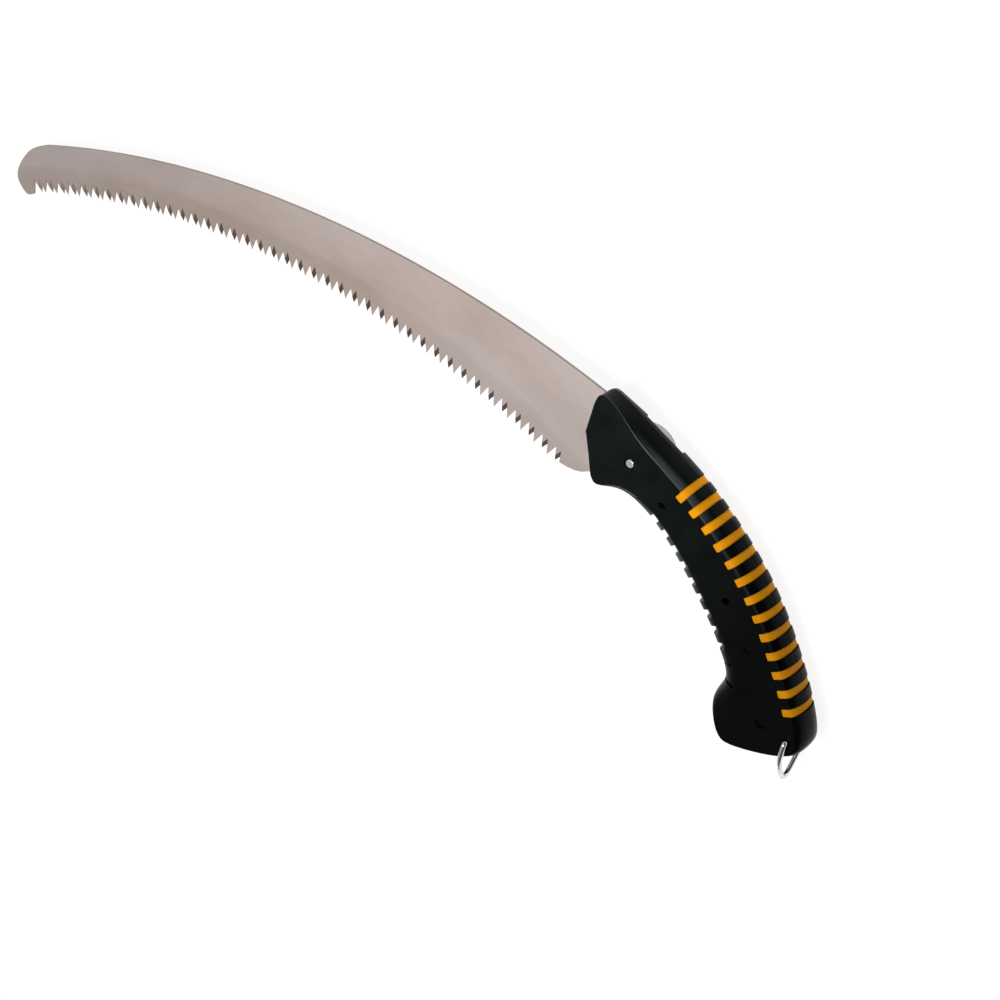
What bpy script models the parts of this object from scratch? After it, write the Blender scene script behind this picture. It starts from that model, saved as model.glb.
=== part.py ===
"""Curved fixed-blade pruning saw: a toothed blade clamped in a two-shell handle.

Design frame, in millimetres: the origin is beside the clamping bolt, in the
plane where the two handle shells meet.  +X runs to the butt of the handle, +Y
to the spine of the blade and +Z out of the left shell.  The saw lies on its
right side, so the last step lifts it until its lowest point is at Z = 0 and
centres its footprint on the world origin.
"""
import math

import bmesh
import bpy
from mathutils import Vector

MM = 0.001
GAP = 0.3
THROUGH = 20.0  # further than any cutter has to reach
OUTLINE_SPANS = 3
GUIDE_SPANS = 8
MITRE_LIMIT = 0.3

# Blade
BLADE_THICK = 1.2
ROOT_CENTRE = (-195.8, -454.4)
ROOT_RADIUS = 463.4
TOOTH_HEIGHT = 6.0
SHALLOW_ROOT = 1.7
PAIR_PITCH = 8.05
PAIR_COUNT = 40
TIP_PLACE = 0.27  # of the pitch, either side of a deep gullet
FIRST_PAIR_ANGLE = -20.5 * PAIR_PITCH / ROOT_RADIUS
GULLET_SKEW = 0.55
SPINE_CENTRE = (-156.1, -540.2)
SPINE_RADIUS = 575.7
SPINE_FRONT = -349.0
SPINE_BACK = -22.0
SPINE_STEPS = 20

# Handle
HALF_THICK = 9.0
BAND_COUNT = 13
BAND_PITCH = 8.78
BAND_WIDTH = 3.4
BAND_DEPTH = 2.2
BAND_SINK = 0.3
CUT_CLEAR = 1.5  # how far the groove and notch cutters stand out of the surface
BAND_REACH = 7.5
FRONT_BAND_EXTRA = 1.3
FIRST_BAND = 51.9
NOTCH_COUNT = 11
NOTCH_PITCH = 7.4
NOTCH_WIDTH = 3.7
NOTCH_DEPTH = 1.4
FIRST_NOTCH = 29.1
SLIT_COUNT = 2  # of the notches, next to the butt, that are only narrow slits
SLIT_WIDTH = 1.3

# Clamp
BOLT_AT = (-0.9, -1.5)
BOLT_RADIUS = 2.0
BOLT_END = 8.6
BOLT_HEAD_RADIUS = 3.4
BOLT_HEAD_THICK = 1.5
BOLT_HOLE_RADIUS = 2.6
NUT_FLATS = 7.0
NUT_THICK = 3.2
POCKET_FLOOR = -3.6
POCKET_RADIUS = 13.1
POCKET_STEPS = 24
THUMB_CUT_WIDTH = 22.0
THUMB_CUT_REACH = 30.0
THUMB_CUT_TOWARDS = (0.45, 0.89)
WASHER_RADIUS = 5.5
WASHER_THICK = 0.8
KNOB_RADIUS = 12.2
KNOB_FACE = -10.3
KNOB_FLUTES = 12
KNOB_FLUTE_DEPTH = 0.45
KNOB_BEVEL = 0.9
SMALL_BEVEL = 0.4

# Pins, screws and bail
TANG_PIN_AT = (17.9, -12.8)
TANG_PIN_RADIUS = 1.5
TANG_PIN_HALF = 5.5
SCREWS = {"handle_screw_front": (56.0, -40.4), "handle_screw_rear": (85.1, -87.8)}
SCREW_RADIUS = 1.4
SCREW_TOP = 5.0
SCREW_HEAD_RADIUS = 2.8
SCREW_HEAD_THICK = 2.1
SCREW_SEAT = -6.0
SCREW_TIP_RADIUS = 0.5
SCREW_TIP_LENGTH = 1.0
RECESS_DEPTH = 0.8
MARK_AT = (70.9, -57.2)
MARK_RADIUS = 2.0
MARK_DEPTH = 0.5
BAIL_AT = (98.0, -90.2)
WIRE_RADIUS = 1.25
WIRE_SIDES = 8
BAIL_STANDOFF = HALF_THICK + GAP + WIRE_RADIUS
BAIL_INNER_END = 3.5

# The handle's outline in the plane between the shells, walked anticlockwise.
# x, y, inset of the left flat, inset of the right flat, roundness of the edge
# (1 is a straight bevel, 2 an ellipse, 4 a small radius).
FRONT_AND_BELLY = [
    (-18.7, 22.4, -1.2, 6.0, 1.3),
    (-22.1, 20.6, 0.4, 3.4, 1.6),
    (-23.4, 12.0, 0.5, 0.5, 4.0),
    (-24.1, 5.2, 0.5, 0.5, 4.0),
    (-24.3, 3.6, 0.5, 0.5, 4.0),
    (-23.8, 2.2, 0.5, 0.5, 4.0),
    (-20.8, -6.5, 0.5, 0.5, 4.0),
    (-17.3, -16.6, 0.6, 0.6, 4.0),
    (-14.6, -18.7, 0.8, 0.6, 3.0),
    (-3.0, -17.8, 4.5, 3.4, 2.0),
    (8.1, -21.6, 7.5, 7.0, 2.0),
    (21.9, -31.3, 9.0, 9.0, 2.0),
    (42.2, -51.0, 9.0, 9.0, 2.0),
    (54.1, -65.1, 9.0, 9.0, 2.0),
    (61.4, -78.4, 9.0, 9.0, 2.0),
    (58.9, -91.4, 5.6, 5.6, 2.0),
]
BELLY_START = 8  # the row at the lower front corner, where the belly begins
BUTT = [
    (62.2, -98.4, 2.0, 2.0, 2.4),
    (67.4, -106.0, 1.2, 1.2, 3.0),
    (71.6, -107.6, 1.0, 1.0, 3.0),
    (97.5, -99.4, 1.2, 1.2, 3.0),
    (104.3, -94.2, 2.6, 2.6, 2.4),
]
PALM = [
    (104.9, -87.2, 4.2, 4.2, 2.0),
    (93.8, -64.0, 4.4, 4.4, 2.0),
    (69.0, -29.8, 5.6, 5.6, 2.0),
    (34.7, -1.9, 5.4, 5.6, 1.8),
    (4.9, 12.7, 3.7, 4.4, 1.5),
]
TOP_CORNER = (-17.0, 17.0)
RING_LEVELS = (0.0, 0.35, 0.62, 0.82, 0.94, 1.0)
NOTCH_LEVELS = (0.98, 0.9, 0.7, 0.4, 0.0, -0.4, -0.7, -0.9, -0.98)

TANG = [(-14.0, 18.3), (2.0, 10.6), (16.0, 3.2), (27.0, -4.5), (30.5, -12.0), (26.0, -18.5),
        (17.0, -19.0), (7.0, -12.5), (-4.0, -11.6), (-14.0, -15.2)]
SLOT_MOUTH_TOP = (-32.0, 24.5)
SLOT_TOP = (-14.0, 18.6)
SLOT_LOW = (-20.0, -18.4)
SLOT_MOUTH_LOW = (-32.0, -24.3)
HEEL = [(-20.0, -18.2), (-24.0, -20.7), (-26.8, -22.3), (-30.2, -23.3), (-34.4, -23.5), (-38.3, -23.3)]
NOSE = [(-357.3, -27.4), (-361.4, -29.3), (-364.6, -28.0), (-367.1, -25.7), (-368.9, -22.9),
        (-369.1, -19.6), (-367.8, -15.8), (-365.2, -10.9), (-361.6, -5.9), (-357.3, -2.2), (-353.2, 0.1)]

COLOURS = {
    "steel": ((0.42, 0.38, 0.36, 1.0), 0.38, 1.0),
    "black": ((0.012, 0.014, 0.013, 1.0), 0.55, 0.0),
    "orange": ((0.75, 0.31, 0.01, 1.0), 0.5, 0.0),
    "grey": ((0.55, 0.57, 0.56, 1.0), 0.45, 0.0),
    "bright": ((0.6, 0.59, 0.57, 1.0), 0.22, 1.0),
    "dark": ((0.12, 0.12, 0.12, 1.0), 0.4, 1.0),
}


def clear_scene():
    for item in list(bpy.data.objects):
        bpy.data.objects.remove(item, do_unlink=True)


def make_material(name, finish):
    colour, roughness, metallic = COLOURS[finish]
    material = bpy.data.materials.new(name)
    material.use_nodes = True
    shader = material.node_tree.nodes["Principled BSDF"]
    shader.inputs["Base Color"].default_value = colour
    shader.inputs["Roughness"].default_value = roughness
    shader.inputs["Metallic"].default_value = metallic
    return material


def add_object(name, bm, parent, finish=None, at=(0.0, 0.0, 0.0), smooth=None):
    """Turn a bmesh in millimetres, drawn around `at`, into an object at `at`."""
    for vert in bm.verts:
        vert.co *= MM
    bmesh.ops.recalc_face_normals(bm, faces=bm.faces)
    mesh = bpy.data.meshes.new(name)
    bm.to_mesh(mesh)
    bm.free()
    item = bpy.data.objects.new(name, mesh)
    bpy.context.scene.collection.objects.link(item)
    item.parent = parent
    item.location = Vector(at) * MM
    if smooth is not None:
        mesh.shade_smooth()
        mesh.set_sharp_from_angle(angle=math.radians(smooth))
    if finish is None:
        item.hide_render = True
        item.display_type = "WIRE"
    else:
        mesh.materials.append(make_material(name, finish))
    return item


def cut(target, cutter):
    modifier = target.modifiers.new(cutter.name, "BOOLEAN")
    modifier.operation = "DIFFERENCE"
    modifier.solver = "EXACT"
    modifier.object = cutter


def bridge(bm, rings, capped=True):
    """Join rings of vertices with faces, and cap the two ends."""
    for lower, upper in zip(rings, rings[1:]):
        count = len(lower)
        for i in range(count):
            j = (i + 1) % count
            bm.faces.new((lower[i], lower[j], upper[j], upper[i]))
    if capped:
        bm.faces.new(list(reversed(rings[0])))
        bm.faces.new(rings[-1])


def prism(points, low, high):
    """A straight-sided solid on an outline."""
    bm = bmesh.new()
    rings = [[bm.verts.new((x, y, z)) for x, y in points] for z in (low, high)]
    bridge(bm, rings)
    return bm


def turned(profile, sides):
    """A solid of revolution about Z from (radius, height) pairs, bottom to top."""
    bm = bmesh.new()
    rings = []
    for radius, height in profile:
        ring = []
        for i in range(sides):
            turn = 2.0 * math.pi * i / sides
            ring.append(bm.verts.new((radius * math.cos(turn), radius * math.sin(turn), height)))
        rings.append(ring)
    bridge(bm, rings)
    return bm


def circle(at, radius, sides, phase=0.0):
    turns = [phase + 2.0 * math.pi * i / sides for i in range(sides)]
    return [(at[0] + radius * math.cos(t), at[1] + radius * math.sin(t)) for t in turns]


def blend(a, b, start, end, at):
    share = (at - start) / (end - start)
    return tuple(x + (y - x) * share for x, y in zip(a, b))


def catmull(points, spans, closed=False):
    """Points on a smooth curve through `points`, with `spans` steps between each two.

    Each point is x, y and any further values, which are smoothed in the same way.
    The centripetal form keeps short spans beside long ones from overshooting.
    """
    count = len(points)
    if closed:
        run = [points[-1]] + list(points) + list(points[:2])
    else:
        before = tuple(2 * a - b for a, b in zip(points[0], points[1]))
        after = tuple(2 * a - b for a, b in zip(points[-1], points[-2]))
        run = [before] + list(points) + [after]
    curve = []
    for k in range(count if closed else count - 1):
        p0, p1, p2, p3 = run[k:k + 4]
        t1 = math.sqrt(math.dist(p0[:2], p1[:2]))
        t2 = t1 + math.sqrt(math.dist(p1[:2], p2[:2]))
        t3 = t2 + math.sqrt(math.dist(p2[:2], p3[:2]))
        for i in range(spans):
            t = t1 + (t2 - t1) * i / spans
            a1 = blend(p0, p1, 0.0, t1, t)
            a2 = blend(p1, p2, t1, t2, t)
            a3 = blend(p2, p3, t2, t3, t)
            b1 = blend(a1, a2, 0.0, t2, t)
            b2 = blend(a2, a3, t1, t3, t)
            curve.append(blend(b1, b2, t1, t2, t))
    if not closed:
        curve.append(tuple(points[-1]))
    return curve


def arc_length(points):
    lengths = [0.0]
    for a, b in zip(points, points[1:]):
        lengths.append(lengths[-1] + math.dist(a[:2], b[:2]))
    return lengths


def walk(points, distance):
    """The point and attributes at a distance along a polyline, and its direction."""
    lengths = arc_length(points)
    k = max(i for i in range(len(points) - 1) if lengths[i] <= distance or i == 0)
    span = lengths[k + 1] - lengths[k]
    t = (distance - lengths[k]) / span
    value = [a + (b - a) * t for a, b in zip(points[k], points[k + 1])]
    direction = Vector((points[k + 1][0] - points[k][0], points[k + 1][1] - points[k][1])).normalized()
    return value, direction


# ---------------------------------------------------------------- handle

def handle_outline():
    return catmull(FRONT_AND_BELLY + BUTT + PALM, OUTLINE_SPANS, closed=True)


def inward_normals(outline):
    normals = []
    count = len(outline)
    for i in range(count):
        ahead = outline[(i + 1) % count]
        behind = outline[i - 1]
        along = Vector((ahead[0] - behind[0], ahead[1] - behind[1])).normalized()
        normals.append(Vector((-along.y, along.x)))
    return normals


def edge_inset(inset, roundness, level):
    """How far the side has come in at a level from 0 (parting plane) to 1 (flat)."""
    return inset * (1.0 - (1.0 - level ** roundness) ** (1.0 / roundness))


def in_top_corner(row):
    return row[0] < TOP_CORNER[0] and row[1] > TOP_CORNER[1]


def shell_loft(side):
    """The outer form of one shell: rings from the parting plane to the flat.

    The right shell's ridge lies lower than the left one's, so at its top front
    corner the side comes straight down and not in from the front.
    """
    outline = handle_outline()
    normals = inward_normals(outline)
    if side < 0:
        normals = [Vector((0.0, -1.0)) if in_top_corner(row) else normal
                   for row, normal in zip(outline, normals)]
    bm = bmesh.new()
    rings = []
    for level in RING_LEVELS:
        height = GAP / 2 + (HALF_THICK - GAP / 2) * level
        ring = []
        for (x, y, left, right, roundness), normal in zip(outline, normals):
            shift = edge_inset(left if side > 0 else right, roundness, level)
            ring.append(bm.verts.new((x + normal.x * shift, y + normal.y * shift, side * height)))
        rings.append(ring)
    bridge(bm, rings)
    return bm


def palm_curve():
    """The palm side from the front corner back to the butt, with its insets."""
    run = [FRONT_AND_BELLY[0]] + list(reversed(PALM)) + [BUTT[-1]]
    return catmull(run, GUIDE_SPANS)


def palm_section(distance, depth, reach, side_levels=(0.0, 0.4, 0.7, 0.9, 1.0)):
    """One cross-section line over the palm, from the left flat round to the right one."""
    (x, y, left, right, roundness), along = walk(palm_curve(), distance)
    inward = Vector((along.y, -along.x))
    line = []
    for side, inset in ((1.0, left), (-1.0, right)):
        half = []
        for level in side_levels:
            shift = depth + edge_inset(inset - depth, roundness, level)
            half.append((x + inward.x * shift, y + inward.y * shift, side * (HALF_THICK - depth) * level))
        half.append((x + inward.x * reach, y + inward.y * reach, side * (HALF_THICK - depth)))
        line.append(half)
    return list(reversed(line[0])) + line[1][1:]


def band_solid(bm, middle, width, top, bottom, reach):
    """A C-shaped bar over the palm between two depths below the surface."""
    rings = []
    for step in (-0.5, 0.0, 0.5):
        distance = middle + step * width
        outer = palm_section(distance, top, reach)
        inner = palm_section(distance, bottom, reach)
        rings.append([bm.verts.new(p) for p in outer + list(reversed(inner))])
    bridge(bm, rings, capped=False)
    half = len(rings[0]) // 2
    for ring in (rings[0], rings[-1]):
        for i in range(half - 1):
            bm.faces.new((ring[i], ring[i + 1], ring[-i - 2], ring[-i - 1]))


def band_places():
    """Distance along the palm and reach onto the flats of each band, front to back."""
    places = []
    for i in range(BAND_COUNT):
        extra = FRONT_BAND_EXTRA * max(0.0, 1.0 - i / 4)
        places.append((FIRST_BAND + BAND_PITCH * i, BAND_REACH + extra))
    return places


def groove_cutter(parent):
    bm = bmesh.new()
    for middle, reach in band_places():
        band_solid(bm, middle, BAND_WIDTH + 2 * GAP, -CUT_CLEAR, BAND_DEPTH + GAP, reach + GAP)
    return add_object("cut_grooves", bm, parent)


def notch_cutter(parent):
    """Shallow finger notches that follow the rounded belly and stop short of the flats."""
    bm = bmesh.new()
    belly = catmull(FRONT_AND_BELLY[BELLY_START:], GUIDE_SPANS)
    for i in range(NOTCH_COUNT):
        middle = FIRST_NOTCH + NOTCH_PITCH * i
        width = NOTCH_WIDTH if i < NOTCH_COUNT - SLIT_COUNT else SLIT_WIDTH
        rings = []
        for step in (-0.5, 0.5):
            (x, y, left, right, roundness), along = walk(belly, middle + step * width)
            inward = Vector((-along.y, along.x))
            ring = []
            for depth, levels in ((-CUT_CLEAR, NOTCH_LEVELS), (NOTCH_DEPTH, tuple(reversed(NOTCH_LEVELS)))):
                for level in levels:
                    inset = left if level > 0 else right
                    shift = depth + edge_inset(inset - depth, roundness, abs(level))
                    ring.append(bm.verts.new((x + inward.x * shift, y + inward.y * shift,
                                              (HALF_THICK - depth) * level)))
            rings.append(ring)
        bridge(bm, rings, capped=False)
        half = len(NOTCH_LEVELS)
        for ring in rings:
            for k in range(half - 1):
                bm.faces.new((ring[k], ring[k + 1], ring[-k - 2], ring[-k - 1]))
    return add_object("cut_notches", bm, parent)


def grown(points, amount):
    """An outline moved outward by an amount along its corner bisectors."""
    count = len(points)
    area = sum(points[i - 1][0] * points[i][1] - points[i][0] * points[i - 1][1] for i in range(count))
    turn = 1.0 if area > 0 else -1.0
    moved = []
    for i in range(count):
        before = Vector(points[i]) - Vector(points[i - 1])
        after = Vector(points[(i + 1) % count]) - Vector(points[i])
        normal_a = Vector((before.y, -before.x)).normalized() * turn
        normal_b = Vector((after.y, -after.x)).normalized() * turn
        bisector = (normal_a + normal_b).normalized()
        scale = amount / max(MITRE_LIMIT, bisector.dot(normal_a))
        moved.append((points[i][0] + bisector.x * scale, points[i][1] + bisector.y * scale))
    return moved


def hole_cutter(parent, name, at, radius, low, high, sides=16):
    bm = prism(circle((0.0, 0.0), radius, sides), low, high)
    return add_object(name, bm, parent, at=(at[0], at[1], 0.0))


def tang_slot_outline():
    """The tang and the part of the blade that lies inside the handle, open to the front."""
    return grown([SLOT_MOUTH_TOP, SLOT_TOP] + TANG[1:] + [SLOT_LOW, SLOT_MOUTH_LOW], GAP)


def pocket_outline():
    """The knob's round pocket, opened through the spine for a thumb."""
    towards = Vector(THUMB_CUT_TOWARDS).normalized()
    across = Vector((-towards.y, towards.x))
    half = math.asin(THUMB_CUT_WIDTH / 2 / POCKET_RADIUS)
    base = math.atan2(towards.y, towards.x)
    arc = []
    for i in range(POCKET_STEPS + 1):
        turn = base + half + (2 * math.pi - 2 * half) * i / POCKET_STEPS
        arc.append((BOLT_AT[0] + POCKET_RADIUS * math.cos(turn),
                    BOLT_AT[1] + POCKET_RADIUS * math.sin(turn)))
    far = Vector(BOLT_AT) + towards * THUMB_CUT_REACH
    side = across * THUMB_CUT_WIDTH / 2
    return arc + [tuple(far - side), tuple(far + side)]


def make_shells(assembly):
    left = add_object("handle_left", shell_loft(1.0), assembly, "black", smooth=35)
    right = add_object("handle_right", shell_loft(-1.0), assembly, "black", smooth=35)
    slot_half = BLADE_THICK / 2 + GAP
    slot = add_object("cut_tang_slot", prism(tang_slot_outline(), -slot_half, slot_half), assembly)
    bail_hole = hole_cutter(assembly, "cut_bail_hole", BAIL_AT, WIRE_RADIUS + GAP, -THROUGH, THROUGH)
    grooves = groove_cutter(assembly)
    notches = notch_cutter(assembly)
    for shell in (left, right):
        cut(shell, slot)
        cut(shell, grooves)
        cut(shell, notches)
        cut(shell, bail_hole)
    nut_corner = (NUT_FLATS / 2 + GAP) / math.cos(math.pi / 6)
    nut_top = slot_half + NUT_THICK + 2 * GAP
    front = SCREWS["handle_screw_front"]
    rear = SCREWS["handle_screw_rear"]
    pin_hole = TANG_PIN_RADIUS + GAP
    screw_hole = SCREW_RADIUS + GAP
    seat_hole = SCREW_HEAD_RADIUS + GAP
    for name, at, radius, low, high, sides in (
            ("cut_bolt_left", BOLT_AT, BOLT_HOLE_RADIUS, 0.0, THROUGH, 20),
            ("cut_nut", BOLT_AT, nut_corner, 0.0, nut_top, 6),
            ("cut_pin_left", TANG_PIN_AT, pin_hole, 0.0, THROUGH, 12),
            ("cut_screw_front_left", front, screw_hole, -1.0, THROUGH, 12),
            ("cut_screw_rear_left", rear, screw_hole, -1.0, SCREW_TOP + GAP, 12),
            ("cut_recess_left", rear, SCREW_HEAD_RADIUS, HALF_THICK - RECESS_DEPTH, THROUGH, 16),
            ("cut_mark_left", MARK_AT, MARK_RADIUS, HALF_THICK - MARK_DEPTH, THROUGH, 16)):
        cut(left, hole_cutter(assembly, name, at, radius, low, high, sides))
    for name, at, radius, low, high, sides in (
            ("cut_bolt_right", BOLT_AT, BOLT_HOLE_RADIUS, -THROUGH, 0.0, 20),
            ("cut_pin_right", TANG_PIN_AT, pin_hole, -TANG_PIN_HALF - GAP, 0.0, 12),
            ("cut_screw_front_right", front, screw_hole, -THROUGH, 1.0, 12),
            ("cut_screw_rear_right", rear, screw_hole, -THROUGH, 1.0, 12),
            ("cut_seat_front", front, seat_hole, -THROUGH, SCREW_SEAT, 16),
            ("cut_seat_rear", rear, seat_hole, -THROUGH, SCREW_SEAT, 16)):
        cut(right, hole_cutter(assembly, name, at, radius, low, high, sides))
    pocket = add_object("cut_knob_pocket", prism(pocket_outline(), -THROUGH, POCKET_FLOOR), assembly)
    cut(right, pocket)


def make_bands(assembly):
    for number, (middle, reach) in enumerate(band_places(), start=1):
        bm = bmesh.new()
        band_solid(bm, middle, BAND_WIDTH, BAND_SINK, BAND_DEPTH, reach)
        add_object(f"grip_band_{number:02d}", bm, assembly, "orange", smooth=35)


# ---------------------------------------------------------------- blade

def on_arc(centre, radius, angle):
    return (centre[0] + radius * math.sin(angle), centre[1] + radius * math.cos(angle))


def tooth_edge(skew):
    """The cutting edge from heel to nose; gullets shift along the edge by the skew."""
    step = PAIR_PITCH / ROOT_RADIUS
    slip = skew * GULLET_SKEW / ROOT_RADIUS
    points = []
    for i in range(PAIR_COUNT, -1, -1):
        angle = FIRST_PAIR_ANGLE + step * i
        points.append(on_arc(ROOT_CENTRE, ROOT_RADIUS - SHALLOW_ROOT, angle + 0.5 * step - slip))
        points.append(on_arc(ROOT_CENTRE, ROOT_RADIUS - TOOTH_HEIGHT, angle + TIP_PLACE * step))
        points.append(on_arc(ROOT_CENTRE, ROOT_RADIUS, angle + slip))
        if i > 0:
            points.append(on_arc(ROOT_CENTRE, ROOT_RADIUS - TOOTH_HEIGHT, angle - TIP_PLACE * step))
    return points


def spine_edge():
    """The back of the blade from the nose to the handle."""
    start = math.asin((SPINE_FRONT - SPINE_CENTRE[0]) / SPINE_RADIUS)
    end = math.asin((SPINE_BACK - SPINE_CENTRE[0]) / SPINE_RADIUS)
    angles = [start + (end - start) * i / SPINE_STEPS for i in range(SPINE_STEPS + 1)]
    return [on_arc(SPINE_CENTRE, SPINE_RADIUS, angle) for angle in angles]


def blade_outline(skew):
    return HEEL + tooth_edge(skew) + NOSE + spine_edge() + TANG


def make_blade(assembly):
    bm = bmesh.new()
    rings = []
    for skew, height in ((1.0, -BLADE_THICK / 2), (-1.0, BLADE_THICK / 2)):
        rings.append([bm.verts.new((x, y, height)) for x, y in blade_outline(skew)])
    bridge(bm, rings)
    blade = add_object("blade", bm, assembly, "steel")
    bolt_hole = BOLT_RADIUS + GAP
    pin_hole = TANG_PIN_RADIUS + GAP
    cut(blade, hole_cutter(assembly, "cut_blade_bolt", BOLT_AT, bolt_hole, -THROUGH, THROUGH, 20))
    cut(blade, hole_cutter(assembly, "cut_blade_pin", TANG_PIN_AT, pin_hole, -THROUGH, THROUGH, 12))


# ---------------------------------------------------------------- clamp and fasteners

def make_clamp(assembly, washer_pivot, knob_pivot):
    washer_top = POCKET_FLOOR - GAP
    washer = turned([(WASHER_RADIUS, washer_top - WASHER_THICK), (WASHER_RADIUS, washer_top)], 24)
    washer = add_object("bolt_washer", washer, washer_pivot, "bright", smooth=35)
    cut(washer, hole_cutter(assembly, "cut_washer", BOLT_AT, BOLT_RADIUS + GAP, -THROUGH, THROUGH, 20))

    knob_top = washer_top - WASHER_THICK - GAP
    sides = KNOB_FLUTES * 4
    bm = bmesh.new()
    rings = []
    for inset, height in ((KNOB_BEVEL, KNOB_FACE), (0.0, KNOB_FACE + KNOB_BEVEL),
                          (0.0, knob_top - SMALL_BEVEL), (SMALL_BEVEL, knob_top)):
        ring = []
        for i in range(sides):
            flute = KNOB_FLUTE_DEPTH if i % 4 == 0 else 0.0
            radius = KNOB_RADIUS - inset - flute
            turn = 2.0 * math.pi * i / sides
            ring.append(bm.verts.new((radius * math.cos(turn), radius * math.sin(turn), height)))
        rings.append(ring)
    bridge(bm, rings)
    knob = add_object("clamp_knob", bm, knob_pivot, "grey", smooth=35)
    head_seat = KNOB_FACE + GAP + BOLT_HEAD_THICK + GAP
    bore = BOLT_RADIUS + GAP
    seat = BOLT_HEAD_RADIUS + GAP
    cut(knob, hole_cutter(assembly, "cut_knob_bore", BOLT_AT, bore, -THROUGH, THROUGH, 20))
    cut(knob, hole_cutter(assembly, "cut_knob_seat", BOLT_AT, seat, -THROUGH, head_seat, 20))

    head_low = KNOB_FACE + GAP
    head_high = head_low + BOLT_HEAD_THICK
    profile = [(BOLT_HEAD_RADIUS, head_low), (BOLT_HEAD_RADIUS, head_high), (BOLT_RADIUS, head_high),
               (BOLT_RADIUS, BOLT_END - SMALL_BEVEL), (BOLT_RADIUS - SMALL_BEVEL, BOLT_END)]
    add_object("blade_bolt", turned(profile, 20), knob_pivot, "bright", smooth=35)

    nut_low = BLADE_THICK / 2 + 2 * GAP
    nut = prism(circle((0.0, 0.0), NUT_FLATS / 2 / math.cos(math.pi / 6), 6), nut_low, nut_low + NUT_THICK)
    nut = add_object("captive_nut", nut, assembly, "bright", at=(*BOLT_AT, 0.0))
    cut(nut, hole_cutter(assembly, "cut_nut_bore", BOLT_AT, BOLT_RADIUS + GAP, -THROUGH, THROUGH, 20))


def make_fasteners(assembly):
    pin = turned([(TANG_PIN_RADIUS, -TANG_PIN_HALF), (TANG_PIN_RADIUS, TANG_PIN_HALF)], 12)
    add_object("tang_pin", pin, assembly, "dark", at=(*TANG_PIN_AT, 0.0), smooth=35)
    head_high = SCREW_SEAT - GAP
    for name, at in SCREWS.items():
        profile = [(SCREW_HEAD_RADIUS, head_high - SCREW_HEAD_THICK), (SCREW_HEAD_RADIUS, head_high),
                   (SCREW_RADIUS, head_high), (SCREW_RADIUS, SCREW_TOP - SCREW_TIP_LENGTH),
                   (SCREW_TIP_RADIUS, SCREW_TOP)]
        add_object(name, turned(profile, 16), assembly, "dark", at=(*at, 0.0), smooth=35)


def bail_path():
    """Half of the wire's route from inside the hole to the bottom of the loop."""
    wide = BAIL_STANDOFF
    half = [(0.0, BAIL_INNER_END), (0.0, HALF_THICK - 1.0), (-0.5, wide - 0.5), (-2.0, wide), (-8.5, wide),
            (-14.0, wide - 2.2), (-19.5, 5.2), (-23.4, 2.2), (-24.6, 0.0)]
    smooth = catmull(half, 3)
    return smooth + [(drop, -wide_at) for drop, wide_at in reversed(smooth[:-1])]


def make_bail(bail_pivot):
    path = bail_path()
    bm = bmesh.new()
    rings = []
    for i, (drop, wide) in enumerate(path):
        ahead = path[min(i + 1, len(path) - 1)]
        behind = path[max(i - 1, 0)]
        along = Vector((0.0, ahead[0] - behind[0], ahead[1] - behind[1])).normalized()
        across = Vector((1.0, 0.0, 0.0))
        up = along.cross(across)
        ring = []
        for k in range(WIRE_SIDES):
            turn = 2.0 * math.pi * (k + 0.5) / WIRE_SIDES
            offset = (across * math.cos(turn) + up * math.sin(turn)) * WIRE_RADIUS
            ring.append(bm.verts.new(Vector((0.0, drop, wide)) + offset))
        rings.append(ring)
    bridge(bm, rings)
    add_object("hanging_bail", bm, bail_pivot, "bright", smooth=50)


def add_pivot(name, parent, at=(0.0, 0.0, 0.0)):
    pivot = bpy.data.objects.new(name, None)
    bpy.context.scene.collection.objects.link(pivot)
    pivot.parent = parent
    pivot.location = Vector(at) * MM
    return pivot


def stand_on_ground(assembly):
    """Move the assembly so that its footprint is centred and its lowest point is at Z = 0."""
    bpy.context.view_layer.update()
    depsgraph = bpy.context.evaluated_depsgraph_get()
    low = Vector((math.inf, math.inf, math.inf))
    high = -low
    for item in bpy.context.scene.objects:
        if item.type != "MESH" or item.hide_render:
            continue
        shape = item.evaluated_get(depsgraph)
        for vert in shape.data.vertices:
            point = shape.matrix_world @ vert.co
            low = Vector(map(min, low, point))
            high = Vector(map(max, high, point))
    assembly.location -= Vector(((low.x + high.x) / 2, (low.y + high.y) / 2, low.z))


def main():
    clear_scene()
    assembly = add_pivot("saw_assembly", None)
    washer_pivot = add_pivot("washer_slide", assembly, (*BOLT_AT, 0.0))
    knob_pivot = add_pivot("knob_axis", assembly, (*BOLT_AT, 0.0))
    bail_pivot = add_pivot("bail_axis", assembly, (*BAIL_AT, 0.0))
    make_shells(assembly)
    make_bands(assembly)
    make_blade(assembly)
    make_clamp(assembly, washer_pivot, knob_pivot)
    make_fasteners(assembly)
    make_bail(bail_pivot)
    stand_on_ground(assembly)


main()
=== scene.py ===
import math

import bmesh
import bpy
from mathutils import Matrix, Vector


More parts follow.
